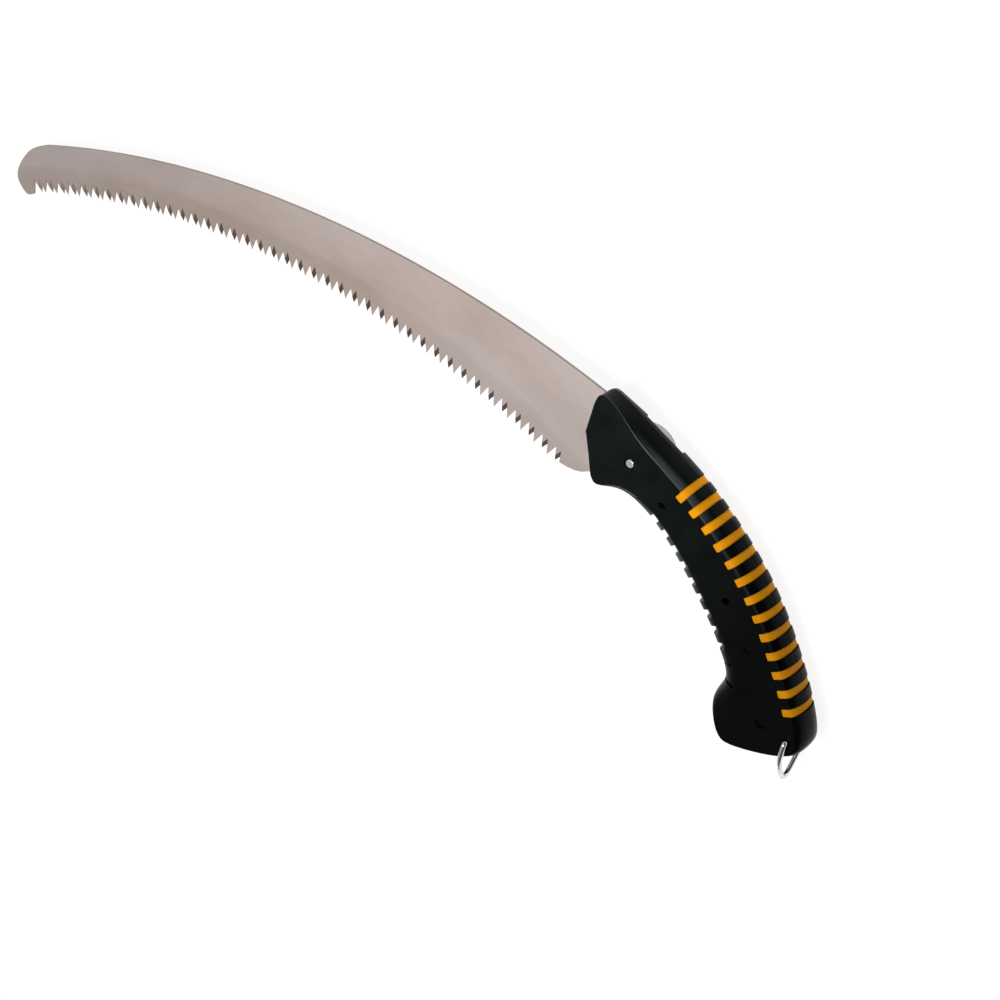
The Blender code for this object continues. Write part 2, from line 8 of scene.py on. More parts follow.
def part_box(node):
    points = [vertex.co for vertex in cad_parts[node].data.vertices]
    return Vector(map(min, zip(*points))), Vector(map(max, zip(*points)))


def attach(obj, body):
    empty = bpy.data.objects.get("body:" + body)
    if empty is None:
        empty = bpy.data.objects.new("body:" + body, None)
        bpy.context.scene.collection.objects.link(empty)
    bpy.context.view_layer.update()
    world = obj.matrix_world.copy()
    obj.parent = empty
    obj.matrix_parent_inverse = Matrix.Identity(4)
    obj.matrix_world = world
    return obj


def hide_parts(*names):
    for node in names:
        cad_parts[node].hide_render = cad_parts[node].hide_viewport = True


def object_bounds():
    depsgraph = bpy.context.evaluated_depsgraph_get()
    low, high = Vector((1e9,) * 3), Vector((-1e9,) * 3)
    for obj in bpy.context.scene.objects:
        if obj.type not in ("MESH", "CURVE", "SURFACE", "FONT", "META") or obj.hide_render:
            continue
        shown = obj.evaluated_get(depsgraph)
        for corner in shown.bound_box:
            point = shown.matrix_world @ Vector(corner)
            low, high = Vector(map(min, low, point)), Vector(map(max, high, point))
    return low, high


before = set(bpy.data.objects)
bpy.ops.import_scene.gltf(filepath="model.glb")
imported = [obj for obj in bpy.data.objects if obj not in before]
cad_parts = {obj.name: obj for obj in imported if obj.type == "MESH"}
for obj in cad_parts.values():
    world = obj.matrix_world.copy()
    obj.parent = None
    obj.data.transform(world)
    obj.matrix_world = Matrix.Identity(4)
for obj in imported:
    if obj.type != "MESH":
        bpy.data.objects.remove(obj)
cad_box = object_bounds()

# Everything is drawn in the saw's design frame, in millimetres: the parting plane
# of the two shells is Z = 0, +X runs to the butt and +Y to the blade's back.
MM = 0.001
GAP = 0.3  # clearance between two pieces
THROUGH = 20.0  # a cutter this long passes right through the handle
OVERRUN = 1.0  # how far a straight cutter runs past the face it starts from
CUTTER_PROUD = 1.5  # how far a cutter for a curved surface stands out of it
BORE_SIDES = 40
BOLT_AT = (-0.9, -1.5)


def design_origin():
    """The design frame's origin in the row frame, from the bolt's and the blade's boxes."""
    bolt_low, bolt_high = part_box("blade_bolt")
    blade_low, blade_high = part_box("blade")
    bolt = (bolt_low + bolt_high) / 2
    middle = (blade_low.z + blade_high.z) / 2
    return Vector((bolt.x - BOLT_AT[0] * MM, bolt.y - BOLT_AT[1] * MM, middle))


ORIGIN = design_origin()

# Handle, as in the frame: x, y, inset of the left flat, inset of the right flat, roundness
HALF_THICK = 9.0
FRONT_AND_BELLY = [
    (-18.7, 22.4, -1.2, 6.0, 1.3),
    (-22.1, 20.6, 0.4, 3.4, 1.6),
    (-23.4, 12.0, 0.5, 0.5, 4.0),
    (-24.1, 5.2, 0.5, 0.5, 4.0),
    (-24.3, 3.6, 0.5, 0.5, 4.0),
    (-23.8, 2.2, 0.5, 0.5, 4.0),
    (-20.8, -6.5, 0.5, 0.5, 4.0),
    (-17.3, -16.6, 0.6, 0.6, 4.0),
    (-14.6, -18.7, 0.8, 0.6, 3.0),
    (-3.0, -17.8, 4.5, 3.4, 2.0),
    (8.1, -21.6, 7.5, 7.0, 2.0),
    (21.9, -31.3, 9.0, 9.0, 2.0),
    (42.2, -51.0, 9.0, 9.0, 2.0),
    (54.1, -65.1, 9.0, 9.0, 2.0),
    (61.4, -78.4, 9.0, 9.0, 2.0),
    (58.9, -91.4, 5.6, 5.6, 2.0),
]
BELLY_START = 8  # the row of FRONT_AND_BELLY where the finger edge begins
BUTT = [
    (62.2, -98.4, 2.0, 2.0, 2.4),
    (67.4, -106.0, 1.2, 1.2, 3.0),
    (71.6, -107.6, 1.0, 1.0, 3.0),
    (97.5, -99.4, 1.2, 1.2, 3.0),
    (104.3, -94.2, 2.6, 2.6, 2.4),
]
PALM = [
    (104.9, -87.2, 4.2, 4.2, 2.0),
    (93.8, -64.0, 4.4, 4.4, 2.0),
    (69.0, -29.8, 5.6, 5.6, 2.0),
    (34.7, -1.9, 5.4, 5.6, 1.8),
    (4.9, 12.7, 3.7, 4.4, 1.5),
]
TOP_CORNER = (-17.0, 17.0)  # in front of and above this, the right shell is only lowered
OUTLINE_SPANS = 8
RING_COUNT = 14
GUIDE_SPANS = 8
BAND_COUNT = 13
BAND_PITCH = 8.78
BAND_WIDTH = 3.4
BAND_DEPTH = 2.2
BAND_SINK = 0.3
CREST_SINK = 0.6  # how much deeper a band lies at the crest of the palm
BAND_REACH = 7.5
FRONT_BAND_EXTRA = 1.3  # how much further the first band reaches over the flats
FRONT_BANDS = 4  # the bands over which that extra reach fades out
FIRST_BAND = 51.9
BAND_FILL = 1.6  # gaps by which a band is drawn wider, so that it nearly fills its groove
BAND_END_EXTRA = 0.2
BAND_END_SLOPE = 0.6  # how much a band's end draws back for each mm that its crown drops
# Share of a band's half width, and drop from its crown
BAND_CROWN = [(-1.0, 0.42), (-0.96, 0.2), (-0.86, 0.08), (-0.6, 0.0), (0.0, 0.0),
              (0.6, 0.0), (0.86, 0.08), (0.96, 0.2), (1.0, 0.42)]
BAND_STEPS = 10
GROOVE_STEPS = 8
NOTCH_COUNT = 11
NOTCH_PITCH = 7.4
NOTCH_WIDTH = 3.7
NOTCH_DEPTH = 1.4
FIRST_NOTCH = 29.1
SLIT_COUNT = 2  # of the notches, next to the butt, that are only narrow slits
SLIT_WIDTH = 1.3
NOTCH_END = 0.98  # share of the half thickness at which a notch stops
NOTCH_ROUND = 0.35  # how much shallower a notch is along its two sides
NOTCH_FLOOR = 0.8  # share of a notch's width that has the full depth
NOTCH_STEPS = 12

# Blade: the arcs of its edges, and its teeth, ground from alternate sides
BLADE_HALF = 0.6
CHAMFER = 0.15
ROOT_CENTRE = (-195.8, -454.4)
ROOT_RADIUS = 463.4
PAIR_PITCH = 8.05
PAIR_COUNT = 40
PAIRS_IN_FRONT = 20.5  # of the root arc's middle, counted along the arc
FIRST_PAIR_ANGLE = -PAIRS_IN_FRONT * PAIR_PITCH / ROOT_RADIUS
# Share of the pitch from the middle of a pair towards the handle, and depth below the root arc
GULLET = (-0.45, -1.0)
TOOTH_NEAR = [(0.34, 6.1), (-0.07, -1.0), (-0.235, 2.9)]
TOOTH_FAR = [(0.375, 2.9), (0.18, -1.0), (-0.15, 6.1)]
SPINE_CENTRE = (-156.1, -540.2)
SPINE_RADIUS = 575.7
SPINE_FRONT = -349.0
SPINE_BACK = -22.0
SPINE_STEPS = 60
NOSE_SPANS = 6
TANG = [(-14.0, 18.3), (2.0, 10.6), (16.0, 3.2), (27.0, -4.5), (30.5, -12.0), (26.0, -18.5),
        (17.0, -19.0), (7.0, -12.5), (-4.0, -11.6), (-14.0, -15.2)]
HEEL = [(-20.0, -18.2), (-24.0, -20.7), (-26.8, -22.3), (-30.2, -23.3), (-34.4, -23.5), (-38.3, -23.3)]
NOSE = [(-357.3, -27.4), (-361.4, -29.3), (-364.6, -28.0), (-367.1, -25.7), (-368.8, -22.9),
        (-369.0, -19.6), (-367.8, -15.8), (-365.2, -10.9), (-361.6, -5.9), (-357.3, -2.2), (-353.2, 0.1)]
TANG_SLOT = [(-32.0, 24.5), (-14.0, 18.6), (2.0, 10.6), (16.0, 3.2), (27.0, -4.5), (30.5, -12.0),
             (26.0, -18.5), (17.0, -19.0), (7.0, -12.5), (-4.0, -11.6), (-14.0, -15.2),
             (-20.0, -18.4), (-32.0, -24.3)]

# Clamp, screws and bail
BOLT_RADIUS = 2.0
BOLT_END = 8.6
BOLT_HEAD_RADIUS = 3.4
BOLT_HEAD_THICK = 1.5
BOLT_HOLE_RADIUS = 2.6
BOLT_SIDES = 48
HEX_KEY_RADIUS = 1.7
RECESS_DEPTH = 1.1  # of the drive recesses in the bolt's and the screws' heads
THREAD_PITCH = 0.7
THREAD_DEPTH = 0.3
NUT_FLATS = 7.0
NUT_THICK = 3.2
POCKET_FLOOR = -3.6
POCKET_RADIUS = 13.1
POCKET_STEPS = 48
THUMB_CUT_WIDTH = 22.0
THUMB_CUT_REACH = 30.0
THUMB_CUT_TOWARDS = (0.45, 0.89)
WASHER_RADIUS = 5.5
WASHER_THICK = 0.8
KNOB_RADIUS = 12.2
KNOB_FACE = -10.3
KNOB_FLUTES = 40
KNOB_FLUTE_DEPTH = 0.3
SIDES_PER_FLUTE = 6
TANG_PIN_AT = (17.9, -12.8)
TANG_PIN_RADIUS = 1.5
TANG_PIN_HALF = 5.5
SCREWS = {"handle_screw_front": (56.0, -40.4), "handle_screw_rear": (85.1, -87.8)}
SCREW_RADIUS = 1.4
SCREW_TOP = 5.0
SCREW_HEAD_RADIUS = 2.8
SCREW_HEAD_THICK = 2.1
SCREW_SEAT = -6.0
SCREW_SIDES = 32
SCREW_THREAD_PITCH = 0.9
SCREW_THREAD_DEPTH = 0.4
CROSS_LONG = 1.45
CROSS_SHORT = 0.32
REAR_RECESS_DEPTH = 0.8  # of the round recess in the left flat over the rear screw
MARK_AT = (70.9, -57.2)  # a shallow moulding mark in the left flat
MARK_RADIUS = 2.0
MARK_DEPTH = 0.5
BAIL_AT = (98.0, -90.2)
WIRE_RADIUS = 1.25
WIRE_DRAWN = 1.15  # inside the corners of the frame's eight-sided wire
WIRE_SIDES = 20
WIRE_SPANS = 9

# Camera, floor and light
CAMERA_RIGHT = (0.79456, 0.14505, -0.58960)
CAMERA_UP = (-0.43112, 0.81855, -0.37962)
CAMERA_AT = (351.1, 483.1, 692.7)
CAMERA_SENSOR = 36.0
CAMERA_LENS = 79.2
FLOOR_HALF = 6.0  # metres
FLOOR_GLOW = 0.90
KEY_AT = (0.0, 0.05, 2.0)
KEY_SIZE = (1.0, 1.0)
KEY_WATTS = 34.0
# Grey levels of the surroundings, at shares of the way from the +X side to the -X side
SURROUNDINGS = ((0.42, 0.08), (0.60, 0.30), (0.72, 0.50))


# ---------------------------------------------------------------- curves

def blend(a, b, start, end, at):
    share = (at - start) / (end - start)
    return tuple(x + (y - x) * share for x, y in zip(a, b))


def catmull(points, spans, closed=False):
    """Points on a centripetal Catmull-Rom curve, with `spans` steps between each two."""
    count = len(points)
    if closed:
        run = [points[-1]] + list(points) + list(points[:2])
    else:
        before = tuple(2 * a - b for a, b in zip(points[0], points[1]))
        after = tuple(2 * a - b for a, b in zip(points[-1], points[-2]))
        run = [before] + list(points) + [after]
    curve = []
    for k in range(count if closed else count - 1):
        p0, p1, p2, p3 = run[k:k + 4]
        t1 = math.sqrt(math.dist(p0[:2], p1[:2]))
        t2 = t1 + math.sqrt(math.dist(p1[:2], p2[:2]))
        t3 = t2 + math.sqrt(math.dist(p2[:2], p3[:2]))
        for i in range(spans):
            t = t1 + (t2 - t1) * i / spans
            a1 = blend(p0, p1, 0.0, t1, t)
            a2 = blend(p1, p2, t1, t2, t)
            a3 = blend(p2, p3, t2, t3, t)
            curve.append(blend(blend(a1, a2, 0.0, t2, t), blend(a2, a3, t1, t3, t), t1, t2, t))
    if not closed:
        curve.append(tuple(points[-1]))
    return curve


def walk(points, distance):
    """The point and attributes at a distance along a polyline, and its direction."""
    for a, b in zip(points, points[1:]):
        span = math.dist(a[:2], b[:2])
        if distance <= span:
            break
        distance -= span
    share = distance / span
    value = [p + (q - p) * share for p, q in zip(a, b)]
    return value, Vector((b[0] - a[0], b[1] - a[1])).normalized()


def circle(at, radius, sides):
    turns = [2.0 * math.pi * i / sides for i in range(sides)]
    return [(at[0] + radius * math.cos(t), at[1] + radius * math.sin(t)) for t in turns]


def edge_inset(inset, roundness, level):
    """How far a rounded edge has drawn in at a share of the half thickness."""
    return inset * (1.0 - (1.0 - level ** roundness) ** (1.0 / roundness))


# ---------------------------------------------------------------- meshes

def bridge(bm, rings, ends="cap"):
    """Join rings of vertices with faces; ends are capped, joined to each other or left open."""
    pairs = list(zip(rings, rings[1:]))
    if ends == "loop":
        pairs.append((rings[-1], rings[0]))
    for lower, upper in pairs:
        count = len(lower)
        for i in range(count):
            j = (i + 1) % count
            bm.faces.new((lower[i], lower[j], upper[j], upper[i]))
    if ends == "cap":
        bm.faces.new(list(reversed(rings[0])))
        bm.faces.new(rings[-1])


def prism(points, low, high):
    bm = bmesh.new()
    rings = [[bm.verts.new((x, y, z)) for x, y in points] for z in (low, high)]
    bridge(bm, rings)
    return bm


def bore(at, radius, low, high, sides=BORE_SIDES):
    return prism(circle(at, radius, sides), low, high)


def turned(profile, sides, at=(0.0, 0.0), ends="cap", flutes=0, flute_depth=0.0):
    """A turned solid from (radius, height[, share of the flute depth]) rows."""
    bm = bmesh.new()
    rings = []
    for row in profile:
        radius, height = row[:2]
        share = row[2] if len(row) > 2 else 0.0
        ring = []
        for i in range(sides):
            turn = 2.0 * math.pi * i / sides
            dent = flute_depth * share * (0.5 - 0.5 * math.cos(flutes * turn)) ** 2
            ring.append(bm.verts.new((at[0] + (radius - dent) * math.cos(turn),
                                      at[1] + (radius - dent) * math.sin(turn), height)))
        rings.append(ring)
    bridge(bm, rings, ends)
    return bm


def raw_object(name, bm):
    """A bmesh in design millimetres as an object in the row frame."""
    bmesh.ops.recalc_face_normals(bm, faces=bm.faces)
    bm.transform(Matrix.Translation(ORIGIN) @ Matrix.Scale(MM, 4))
    mesh = bpy.data.meshes.new(name)
    bm.to_mesh(mesh)
    bm.free()
    item = bpy.data.objects.new(name, mesh)
    bpy.context.scene.collection.objects.link(item)
    return item


def carve(item, cutters):
    """Subtract bmeshes from an object and keep the result as its mesh."""
    tools = []
    for number, cutter in enumerate(cutters):
        tool = raw_object(f"{item.name}_cutter_{number}", cutter)
        modifier = item.modifiers.new(tool.name, "BOOLEAN")
        modifier.operation = "DIFFERENCE"
        modifier.solver = "EXACT"
        modifier.object = tool
        tools.append(tool)
    bake(item)
    for tool in tools:
        bpy.data.objects.remove(tool, do_unlink=True)


def bake(item):
    """Replace an object's mesh by what its modifiers make of it."""
    depsgraph = bpy.context.evaluated_depsgraph_get()
    depsgraph.update()
    mesh = bpy.data.meshes.new_from_object(item.evaluated_get(depsgraph))
    item.modifiers.clear()
    item.data = mesh


def finish_piece(item, node, body, material, sharp):
    """Shade a piece, sharp above an angle in degrees, and tie it to its node and body."""
    item.data.shade_smooth()
    item.data.set_sharp_from_angle(angle=math.radians(sharp))
    modifier = item.modifiers.new("even_flats", "WEIGHTED_NORMAL")
    modifier.weight = 100
    modifier.keep_sharp = True
    bake(item)
    item.data.materials.clear()
    item.data.materials.append(material)
    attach(item, body)
    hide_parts(node)


# ---------------------------------------------------------------- materials

class Nodes:
    """A small helper that adds shader nodes and links them."""

    def __init__(self, name):
        self.material = bpy.data.materials.new(name)
        self.material.use_nodes = True
        self.tree = self.material.node_tree
        self.shader = self.tree.nodes["Principled BSDF"]
        self.place = self.add("ShaderNodeTexCoord").outputs["Object"]

    def add(self, kind, **settings):
        node = self.tree.nodes.new(kind)
        for key, value in settings.items():
            setattr(node, key, value)
        return node

    def join(self, output, socket):
        self.tree.links.new(output, socket)

    def parts(self, vector):
        """The X, Y and Z parts of a vector."""
        node = self.add("ShaderNodeSeparateXYZ")
        self.join(vector, node.inputs[0])
        return node.outputs

    def maths(self, operation, a, b=None):
        node = self.add("ShaderNodeMath", operation=operation)
        for socket, value in zip(node.inputs, (a, b)):
            if isinstance(value, float):
                socket.default_value = value
            elif value is not None:
                self.join(value, socket)
        return node.outputs[0]

    def times(self, value, *others):
        """The product of several values."""
        for other in others:
            value = self.maths("MULTIPLY", value, other)
        return value

    def noise(self, scale, detail=3.0, roughness=0.5, vector=None, stretch=None):
        vector = vector or self.place
        if stretch is not None:
            mapping = self.add("ShaderNodeMapping")
            mapping.inputs["Scale"].default_value = stretch
            self.join(vector, mapping.inputs["Vector"])
            vector = mapping.outputs[0]
        node = self.add("ShaderNodeTexNoise")
        node.inputs["Scale"].default_value = scale
        node.inputs["Detail"].default_value = detail
        node.inputs["Roughness"].default_value = roughness
        self.join(vector, node.inputs["Vector"])
        return node.outputs["Fac"]

    def ramp(self, value, *stops):
        node = self.add("ShaderNodeValToRGB")
        ramp = node.color_ramp
        while len(ramp.elements) < len(stops):
            ramp.elements.new(1.0)
        for element, (position, colour) in zip(ramp.elements, stops):
            element.position = position
            element.color = (*colour, 1.0)
        self.join(value, node.inputs[0])
        return node.outputs[0]

    def mix(self, share, a, b, blend_type="MIX"):
        node = self.add("ShaderNodeMix", data_type="RGBA", blend_type=blend_type)
        for socket, value in ((node.inputs[0], share), (node.inputs[6], a), (node.inputs[7], b)):
            if isinstance(value, float):
                socket.default_value = value
            elif isinstance(value, tuple):
                socket.default_value = (*value, 1.0)
            else:
                self.join(value, socket)
        return node.outputs[2]

    def spread(self, value, low, high):
        """A share from 0 to 1 spread over another range."""
        node = self.add("ShaderNodeMapRange")
        node.inputs["To Min"].default_value = low
        node.inputs["To Max"].default_value = high
        self.join(value, node.inputs["Value"])
        return node.outputs[0]

    def fade(self, value, none_at, full_at, kind="LINEAR"):
        """A share that runs from 0 to 1 as a value goes from one limit to another."""
        node = self.add("ShaderNodeMapRange", interpolation_type=kind)
        node.inputs["From Min"].default_value = none_at
        node.inputs["From Max"].default_value = full_at
        self.join(value, node.inputs["Value"])
        return node.outputs[0]

    def along_handle(self, x, none_at, full_at):
        """A share that runs from 0 to 1 between two places along the handle, in mm."""
        return self.fade(x, ORIGIN.x + none_at * MM, ORIGIN.x + full_at * MM)

    def tilted(self, limit):
        """1 where the Z part of the surface's own normal is below a limit, and 0 elsewhere."""
        normal = self.add("ShaderNodeNewGeometry").outputs["True Normal"]
        return self.maths("LESS_THAN", self.maths("ABSOLUTE", self.parts(normal)["Z"]), limit)

    def bump(self, height, distance, strength, below=None):
        node = self.add("ShaderNodeBump")
        node.inputs["Distance"].default_value = distance
        node.inputs["Strength"].default_value = strength
        self.join(height, node.inputs["Height"])
        if below is not None:
            self.join(below, node.inputs["Normal"])
        return node.outputs[0]

    def set(self, **values):
        names = {"colour": "Base Color", "roughness": "Roughness", "metallic": "Metallic",
                 "normal": "Normal", "specular": "Specular IOR Level"}
        for key, value in values.items():
            socket = self.shader.inputs[names[key]]
            if isinstance(value, float):
                socket.default_value = value
            else:
                self.join(value, socket)


def blade_steel():
    """Ground steel: streaks along the blade, cloudy stains, a dull band above the teeth and painted
    shade on the sloping facets.
    """
    n = Nodes("blade_steel")
    place = n.parts(n.place)
    x = n.maths("SUBTRACT", place["X"], ORIGIN.x + ROOT_CENTRE[0] * MM)
    y = n.maths("SUBTRACT", place["Y"], ORIGIN.y + ROOT_CENTRE[1] * MM)
    along = n.times(n.maths("ARCTAN2", x, y), ROOT_RADIUS * MM)
    square = n.maths("ADD", n.times(x, x), n.times(y, y))
    height = n.maths("SUBTRACT", n.maths("SQRT", square), ROOT_RADIUS * MM)
    polar = n.add("ShaderNodeCombineXYZ")
    n.join(along, polar.inputs["X"])
    n.join(height, polar.inputs["Y"])
    n.join(place["Z"], polar.inputs["Z"])
    flow = polar.outputs[0]

    streaks = n.noise(1.0, 4.0, 0.6, flow, (90.0, 2600.0, 60.0))
    brush = n.noise(1.0, 2.0, 0.5, flow, (500.0, 9000.0, 60.0))
    clouds = n.noise(26.0, 4.0, 0.55, flow, (0.55, 1.3, 1.0))
    tint = n.noise(14.0, 2.0, 0.5, flow, (0.6, 1.0, 1.0))
    scuffs = n.noise(60.0, 3.0, 0.6, flow, (0.35, 2.2, 1.0))

    base = n.ramp(clouds, (0.32, (0.540, 0.455, 0.425)), (0.5, (0.577, 0.492, 0.462)),
                  (0.68, (0.605, 0.522, 0.495)))
    warm = n.ramp(tint, (0.42, (1.03, 1.0, 0.965)), (0.58, (0.985, 1.0, 1.02)))
    base = n.mix(1.0, base, warm, "MULTIPLY")
    grain = n.ramp(streaks, (0.25, (0.955, 0.955, 0.955)), (0.75, (1.03, 1.03, 1.03)))
    base = n.mix(1.0, base, grain, "MULTIPLY")
    ragged = n.maths("ADD", height, n.spread(scuffs, -3.0 * MM, 3.0 * MM))
    band = n.fade(ragged, 10.5 * MM, 3.5 * MM, "SMOOTHERSTEP")
    dull_tint = (0.88, 0.855, 0.82)
    base = n.mix(n.times(band, 0.7), base, n.mix(1.0, base, dull_tint, "MULTIPLY"))
    # Painted shade: the sloping tooth facets and edge chamfers are darkened
    facet_shade_tint = (0.62, 0.59, 0.56)
    base = n.mix(n.tilted(0.93), base, n.mix(1.0, base, facet_shade_tint, "MULTIPLY"))
    rough = n.maths("ADD", n.spread(streaks, 0.38, 0.46), n.spread(clouds, -0.03, 0.05))
    n.set(colour=base, metallic=1.0, roughness=rough,
          normal=n.bump(brush, 0.000004, 0.6, n.bump(streaks, 0.000006, 0.5)))
    return n.material


def black_plastic():
    """Moulded black plastic with a fine spark texture and a little dust; at the head, a painted
    highlight and a painted sheen along the edges, and painted shade on the sides at the front.
    """
    n = Nodes("black_plastic")
    grain = n.noise(2600.0, 2.0, 0.6)
    orange_peel = n.noise(420.0, 2.0, 0.5)
    dust = n.noise(60.0, 5.0, 0.65)
    specks = n.noise(1300.0, 1.0, 0.4)
    place = n.parts(n.place)
    height = n.maths("ABSOLUTE", n.maths("SUBTRACT", place["Z"], ORIGIN.z))
    tilted = n.tilted(0.965)
    head = n.along_handle(place["X"], none_at=70.0, full_at=0.0)
    ridge = n.along_handle(place["X"], none_at=48.0, full_at=26.0)
    front = n.along_handle(place["X"], none_at=20.0, full_at=2.0)
    behind_nose = n.along_handle(place["X"], none_at=-4.0, full_at=12.0)

    # A painted highlight: a thin bright line where the side meets the flat, strongest at the front of
    # the head
    above = n.maths("GREATER_THAN", height, (HALF_THICK - 0.30) * MM)
    below = n.maths("LESS_THAN", height, (HALF_THICK - 0.01) * MM)
    ridge_highlight = n.times(above, below, tilted, ridge, n.spread(dust, 0.55, 1.0), n.spread(front, 0.12, 1.35))
    # A painted sheen: a wider grey bevel beside that line, further back
    slope = n.fade(height, 5.8 * MM, 8.2 * MM, "SMOOTHSTEP")
    bevel_sheen = n.times(slope, tilted, ridge, behind_nose, n.spread(grain, 0.2, 1.0))

    colour = n.ramp(dust, (0.35, (0.0012, 0.0022, 0.0019)), (0.75, (0.0040, 0.0052, 0.0047)))
    fleck = n.ramp(specks, (0.70, (0.0, 0.0, 0.0)), (0.82, (0.5, 0.5, 0.5)))
    colour = n.mix(fleck, colour, (0.014, 0.016, 0.015))
    colour = n.mix(1.0, colour, n.spread(head, 0.35, 2.2), "MULTIPLY")
    # Painted shade: the sloping sides at the front of the head are darkened
    colour = n.mix(1.0, colour, n.spread(n.times(tilted, front), 1.0, 0.3), "MULTIPLY")
    # Mix in the painted sheen on the bevel and the painted highlight on the ridge line
    colour = n.mix(bevel_sheen, colour, (0.068, 0.076, 0.079))
    colour = n.mix(ridge_highlight, colour, (0.110, 0.112, 0.108))
    gloss = n.maths("ADD", n.spread(dust, 0.27, 0.35), n.times(head, 0.08))
    n.shader.inputs["Specular Tint"].default_value = (0.82, 1.0, 0.95, 1.0)
    n.set(colour=colour, specular=0.06, roughness=gloss,
          normal=n.bump(grain, 0.00006, 0.45, n.bump(orange_peel, 0.00005, 0.25)))
    return n.material


def orange_rubber():
    """Soft orange inlay, a little darker towards the butt."""
    n = Nodes("orange_rubber")
    patches = n.noise(150.0, 4.0, 0.6)
    pores = n.noise(3000.0, 2.0, 0.5)
    front = n.along_handle(n.parts(n.place)["X"], none_at=80.0, full_at=28.0)
    colour = n.ramp(patches, (0.30, (0.86, 0.315, 0.002)), (0.55, (0.94, 0.365, 0.003)),
                    (0.80, (0.99, 0.405, 0.006)))
    colour = n.mix(1.0, colour, n.spread(front, 0.60, 1.0), "MULTIPLY")
    n.set(colour=colour, specular=0.05, roughness=n.spread(patches, 0.42, 0.58),
          normal=n.bump(pores, 0.00003, 0.35))
    return n.material


def metal(name, colour, rough_low, rough_high, grain=900.0, depth=0.000006):
    """A plain metal with slight colour and gloss variation and a fine surface."""
    n = Nodes(name)
    patches = n.noise(240.0, 4.0, 0.6)
    fine = n.noise(grain, 3.0, 0.6)
    light = tuple(min(1.0, c * 1.06) for c in colour)
    dark = tuple(c * 0.86 for c in colour)
    n.set(colour=n.ramp(patches, (0.3, dark), (0.7, light)), metallic=1.0,
          roughness=n.spread(fine, rough_low, rough_high), normal=n.bump(fine, depth, 0.6))
    return n.material


def pale_floor():
    """A white table that is lit from below, so that its shadows stay faint."""
    n = Nodes("pale_floor")
    n.shader.inputs["Emission Color"].default_value = (1.0, 1.0, 1.0, 1.0)
    n.shader.inputs["Emission Strength"].default_value = FLOOR_GLOW
    n.set(colour=n.ramp(n.noise(3.0), (0.3, (0.150, 0.150, 0.149)), (0.7, (0.165, 0.165, 0.164))),
          roughness=0.9, specular=0.1)
    return n.material


# ---------------------------------------------------------------- blade

def on_arc(centre, radius, angle):
    return (centre[0] + radius * math.sin(angle), centre[1] + radius * math.cos(angle))


def tooth_edge(cell):
    """One face's cutting edge, heel to nose, from that face's points of a pair of teeth."""
    step = PAIR_PITCH / ROOT_RADIUS
    points = []
    for i in range(PAIR_COUNT, -1, -1):
        middle = FIRST_PAIR_ANGLE + step * (i + 0.5)
        row = cell[1:] if i == PAIR_COUNT else cell
        for share, depth in row + [GULLET]:
            points.append(on_arc(ROOT_CENTRE, ROOT_RADIUS - depth, middle + share * step))
    return points


def spine_edge():
    start = math.asin((SPINE_FRONT - SPINE_CENTRE[0]) / SPINE_RADIUS)
    end = math.asin((SPINE_BACK - SPINE_CENTRE[0]) / SPINE_RADIUS)
    angles = [start + (end - start) * i / SPINE_STEPS for i in range(SPINE_STEPS + 1)]
    return [on_arc(SPINE_CENTRE, SPINE_RADIUS, angle) for angle in angles]


def narrowed(points, inset):
    """An open run of an outline, walked clockwise seen from above, moved inwards."""
    moved = []
    last = len(points) - 1
    for i, (x, y) in enumerate(points):
        ahead = points[min(i + 1, last)]
        behind = points[max(i - 1, 0)]
        along = Vector((ahead[0] - behind[0], ahead[1] - behind[1])).normalized()
        moved.append((x + along.y * inset, y - along.x * inset))
    return moved


def make_blade(material):
    spine = spine_edge()
    back = catmull(NOSE + spine[:2], NOSE_SPANS) + spine[2:]
    near = tooth_edge(TOOTH_NEAR)
    far = tooth_edge(TOOTH_FAR)
    bm = bmesh.new()
    rings = []
    for height in (-BLADE_HALF, -BLADE_HALF + CHAMFER, BLADE_HALF - CHAMFER, BLADE_HALF):
        share = 0.5 + 0.5 * height / BLADE_HALF
        teeth = [blend(a, b, 0.0, 1.0, share) for a, b in zip(far, near)]
        inset = CHAMFER if abs(height) == BLADE_HALF else 0.0
        outline = narrowed(HEEL, inset) + teeth + narrowed(back, inset) + TANG
        rings.append([bm.verts.new((x, y, height)) for x, y in outline])
    bridge(bm, rings)
    item = raw_object("blade_plate", bm)
    carve(item, [bore(BOLT_AT, BOLT_RADIUS + GAP, -THROUGH, THROUGH),
                 bore(TANG_PIN_AT, TANG_PIN_RADIUS + GAP, -THROUGH, THROUGH)])
    finish_piece(item, "blade", "handle", material, sharp=15)


# ---------------------------------------------------------------- handle shells

def handle_outline():
    return catmull(FRONT_AND_BELLY + BUTT + PALM, OUTLINE_SPANS, closed=True)


def inward_normals(outline, side):
    normals = []
    count = len(outline)
    for i, row in enumerate(outline):
        ahead = outline[(i + 1) % count]
        behind = outline[i - 1]
        along = Vector((ahead[0] - behind[0], ahead[1] - behind[1])).normalized()
        normals.append(Vector((-along.y, along.x)))
        if side < 0 and row[0] < TOP_CORNER[0] and row[1] > TOP_CORNER[1]:
            normals[-1] = Vector((0.0, -1.0))
    return normals


